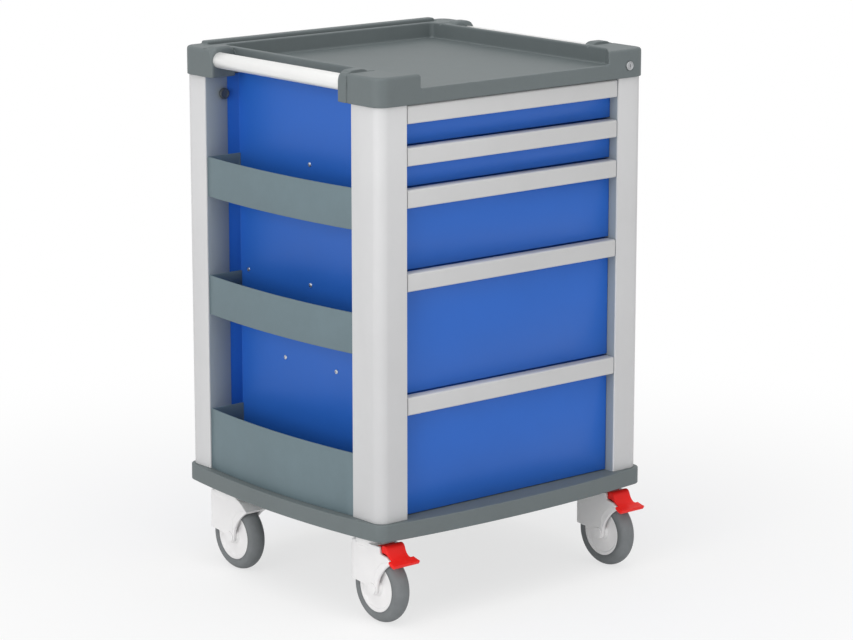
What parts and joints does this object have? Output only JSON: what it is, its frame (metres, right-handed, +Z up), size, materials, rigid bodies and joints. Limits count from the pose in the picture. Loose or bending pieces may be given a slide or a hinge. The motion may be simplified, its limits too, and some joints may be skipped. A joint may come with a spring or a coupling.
{
  "type": "hospital crash cart",
  "caption": "Wheeled hospital cart with blue drawers, grey side bins, a sunk worktop with side handle tubes, light columns and swivel castors with red brake pedals.",
  "frame": {"origin": "on the floor, under the middle of the overall box, pedals included", "axes": "+Z up, -Y towards the drawer fronts, +X to the right of someone facing the drawers"},
  "size_m": [0.65, 0.5764, 0.95],
  "materials": {
    "base_plastic": "grained grey moulding",
    "bin_plastic": "smooth grey moulding",
    "column_aluminium": "light grey satin coating",
    "blue_sheet": "blue satin powder coat",
    "tray_sheet": "light grey powder coat",
    "handle_metal": "satin silver",
    "rail_aluminium": "light grey satin coating",
    "slide_steel": "zinc plated",
    "screw_steel": "plated",
    "dark_plastic": "moulded black",
    "lock_metal": "polished",
    "zinc_steel": "zinc plated",
    "castor_plastic": "off-white moulding",
    "tyre_rubber": "grey non-marking rubber",
    "pedal_plastic": "red moulding"
  },
  "bodies": {
    "frame": {"base_platform": "base_plastic", "front_columns": "column_aluminium", "rear_columns": "column_aluminium", "side_panels": "blue_sheet", "back_panel": "blue_sheet", "panel_screws": "screw_steel", "column_knob": "dark_plastic", "worktop": "base_plastic", "handle_tubes": "handle_metal", "bin_top": "bin_plastic", "bin_middle": "bin_plastic", "bin_bottom": "bin_plastic", "slide_outer_members": "slide_steel", "lock_housing": "lock_metal", "castor_mounts": "zinc_steel"},
    "drawer_1": {"drawer_1_rail": "rail_aluminium", "drawer_1_front": "blue_sheet", "drawer_1_tray": "tray_sheet", "drawer_1_slide_inner": "slide_steel"},
    "drawer_1_slide": {"drawer_1_slide_middle": "slide_steel"},
    "drawer_2": {"drawer_2_rail": "rail_aluminium", "drawer_2_front": "blue_sheet", "drawer_2_tray": "tray_sheet", "drawer_2_slide_inner": "slide_steel"},
    "drawer_2_slide": {"drawer_2_slide_middle": "slide_steel"},
    "drawer_3": {"drawer_3_rail": "rail_aluminium", "drawer_3_front": "blue_sheet", "drawer_3_tray": "tray_sheet", "drawer_3_slide_inner": "slide_steel"},
    "drawer_3_slide": {"drawer_3_slide_middle": "slide_steel"},
    "drawer_4": {"drawer_4_rail": "rail_aluminium", "drawer_4_front": "blue_sheet", "drawer_4_tray": "tray_sheet", "drawer_4_slide_inner": "slide_steel"},
    "drawer_4_slide": {"drawer_4_slide_middle": "slide_steel"},
    "drawer_5": {"drawer_5_rail": "rail_aluminium", "drawer_5_front": "blue_sheet", "drawer_5_tray": "tray_sheet", "drawer_5_slide_inner": "slide_steel"},
    "drawer_5_slide": {"drawer_5_slide_middle": "slide_steel"},
    "castor_front_left": {"castor_front_left_fork": "castor_plastic", "castor_front_left_axle": "castor_plastic"},
    "wheel_front_left": {"castor_front_left_rim": "castor_plastic", "castor_front_left_tyre": "tyre_rubber"},
    "brake_left": {"brake_pedal_left": "pedal_plastic"},
    "castor_front_right": {"castor_front_right_fork": "castor_plastic", "castor_front_right_axle": "castor_plastic"},
    "wheel_front_right": {"castor_front_right_rim": "castor_plastic", "castor_front_right_tyre": "tyre_rubber"},
    "brake_right": {"brake_pedal_right": "pedal_plastic"},
    "castor_rear_left": {"castor_rear_left_fork": "castor_plastic", "castor_rear_left_axle": "castor_plastic"},
    "wheel_rear_left": {"castor_rear_left_rim": "castor_plastic", "castor_rear_left_tyre": "tyre_rubber"},
    "castor_rear_right": {"castor_rear_right_fork": "castor_plastic", "castor_rear_right_axle": "castor_plastic"},
    "wheel_rear_right": {"castor_rear_right_rim": "castor_plastic", "castor_rear_right_tyre": "tyre_rubber"},
    "lock_barrel": {"lock_barrel": "lock_metal"},
    "lock_bar": {"lock_bar": "zinc_steel"}
  },
  "joints": [
    {"name": "drawer_1_travel", "type": "slide", "parent": "frame", "child": "drawer_1", "axis": [0, -1, 0], "range_m": [0, 0.4]},
    {"name": "drawer_1_slide_travel", "type": "slide", "parent": "frame", "child": "drawer_1_slide", "axis": [0, -1, 0], "range_m": [0, 0.2]},
    {"name": "drawer_2_travel", "type": "slide", "parent": "frame", "child": "drawer_2", "axis": [0, -1, 0], "range_m": [0, 0.4]},
    {"name": "drawer_2_slide_travel", "type": "slide", "parent": "frame", "child": "drawer_2_slide", "axis": [0, -1, 0], "range_m": [0, 0.2]},
    {"name": "drawer_3_travel", "type": "slide", "parent": "frame", "child": "drawer_3", "axis": [0, -1, 0], "range_m": [0, 0.4]},
    {"name": "drawer_3_slide_travel", "type": "slide", "parent": "frame", "child": "drawer_3_slide", "axis": [0, -1, 0], "range_m": [0, 0.2]},
    {"name": "drawer_4_travel", "type": "slide", "parent": "frame", "child": "drawer_4", "axis": [0, -1, 0], "range_m": [0, 0.4]},
    {"name": "drawer_4_slide_travel", "type": "slide", "parent": "frame", "child": "drawer_4_slide", "axis": [0, -1, 0], "range_m": [0, 0.2]},
    {"name": "drawer_5_travel", "type": "slide", "parent": "frame", "child": "drawer_5", "axis": [0, -1, 0], "range_m": [0, 0.4]},
    {"name": "drawer_5_slide_travel", "type": "slide", "parent": "frame", "child": "drawer_5_slide", "axis": [0, -1, 0], "range_m": [0, 0.2]},
    {"name": "front_left_swivel", "type": "hinge", "parent": "frame", "child": "castor_front_left", "pos_m": [-0.263, -0.19225, 0.15], "axis": [0, 0, 1], "continuous": true},
    {"name": "front_left_wheel_spin", "type": "hinge", "parent": "castor_front_left", "child": "wheel_front_left", "pos_m": [-0.263, -0.22025, 0.0625], "axis": [1, 0, 0], "continuous": true},
    {"name": "front_left_brake_pedal", "type": "hinge", "parent": "castor_front_left", "child": "brake_left", "pos_m": [-0.263, -0.23225, 0.1345], "axis": [-1, 0, 0], "range_deg": [0, 10]},
    {"name": "front_right_swivel", "type": "hinge", "parent": "frame", "child": "castor_front_right", "pos_m": [0.263, -0.19225, 0.15], "axis": [0, 0, 1], "continuous": true},
    {"name": "front_right_wheel_spin", "type": "hinge", "parent": "castor_front_right", "child": "wheel_front_right", "pos_m": [0.263, -0.22025, 0.0625], "axis": [1, 0, 0], "continuous": true},
    {"name": "front_right_brake_pedal", "type": "hinge", "parent": "castor_front_right", "child": "brake_right", "pos_m": [0.263, -0.23225, 0.1345], "axis": [-1, 0, 0], "range_deg": [0, 10]},
    {"name": "rear_left_swivel", "type": "hinge", "parent": "frame", "child": "castor_rear_left", "pos_m": [-0.263, 0.21575, 0.15], "axis": [0, 0, 1], "continuous": true},
    {"name": "rear_left_wheel_spin", "type": "hinge", "parent": "castor_rear_left", "child": "wheel_rear_left", "pos_m": [-0.263, 0.18775, 0.0625], "axis": [1, 0, 0], "continuous": true},
    {"name": "rear_right_swivel", "type": "hinge", "parent": "frame", "child": "castor_rear_right", "pos_m": [0.263, 0.21575, 0.15], "axis": [0, 0, 1], "continuous": true},
    {"name": "rear_right_wheel_spin", "type": "hinge", "parent": "castor_rear_right", "child": "wheel_rear_right", "pos_m": [0.263, 0.18775, 0.0625], "axis": [1, 0, 0], "continuous": true},
    {"name": "lock_turn", "type": "hinge", "parent": "frame", "child": "lock_barrel", "pos_m": [0.2625, -0.26325, 0.916], "axis": [0, -1, 0], "range_deg": [0, 90]},
    {"name": "lock_bar_lift", "type": "slide", "parent": "frame", "child": "lock_bar", "axis": [0, 0, 1], "range_m": [0, 0.0037]}
  ],
  "couplings": [
    {"joint": "drawer_1_slide_travel", "follows": "drawer_1_travel", "ratio": 0.5},
    {"joint": "drawer_2_slide_travel", "follows": "drawer_2_travel", "ratio": 0.5},
    {"joint": "drawer_3_slide_travel", "follows": "drawer_3_travel", "ratio": 0.5},
    {"joint": "drawer_4_slide_travel", "follows": "drawer_4_travel", "ratio": 0.5},
    {"joint": "drawer_5_slide_travel", "follows": "drawer_5_travel", "ratio": 0.5},
    {"joint": "lock_turn", "follows": "lock_bar_lift", "rad_per_m": 420}
  ]
}
